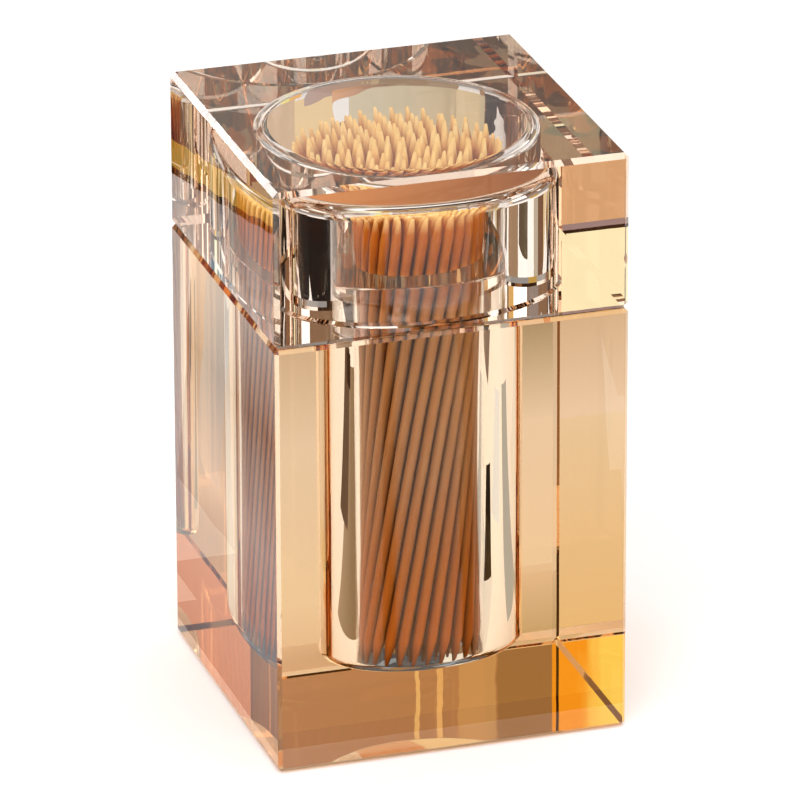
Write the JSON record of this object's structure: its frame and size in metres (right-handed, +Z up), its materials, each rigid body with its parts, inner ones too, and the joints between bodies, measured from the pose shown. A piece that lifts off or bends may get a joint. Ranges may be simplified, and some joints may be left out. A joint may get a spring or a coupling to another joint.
{
  "type": "toothpick holder",
  "caption": "Square block of amber crystal glass with a round bore full of pointed toothpicks and a loose square glass lid that lifts straight off a round neck.",
  "frame": {"origin": "centre of the base's underside, on the table", "axes": "+Z up along the bore, out of its mouth; +X and +Y square to the block's side faces, with -Y the front face"},
  "size_m": [0.05, 0.05, 0.0845],
  "materials": {
    "amber_glass": "clear amber crystal, polished on every face",
    "toothpick_wood": "bare turned wood"
  },
  "bodies": {
    "holder": {"body_block": "amber_glass", "toothpicks_ring_1": "toothpick_wood", "toothpicks_ring_2": "toothpick_wood", "toothpicks_ring_3": "toothpick_wood", "toothpicks_ring_4": "toothpick_wood", "toothpicks_ring_5": "toothpick_wood", "toothpicks_ring_6": "toothpick_wood", "toothpicks_ring_7": "toothpick_wood"},
    "lid": {"lid_block": "amber_glass"}
  },
  "joints": [
    {"name": "lid_lift", "type": "slide", "parent": "holder", "child": "lid", "axis": [0, 0, 1], "range_m": [0, 0.03]}
  ]
}
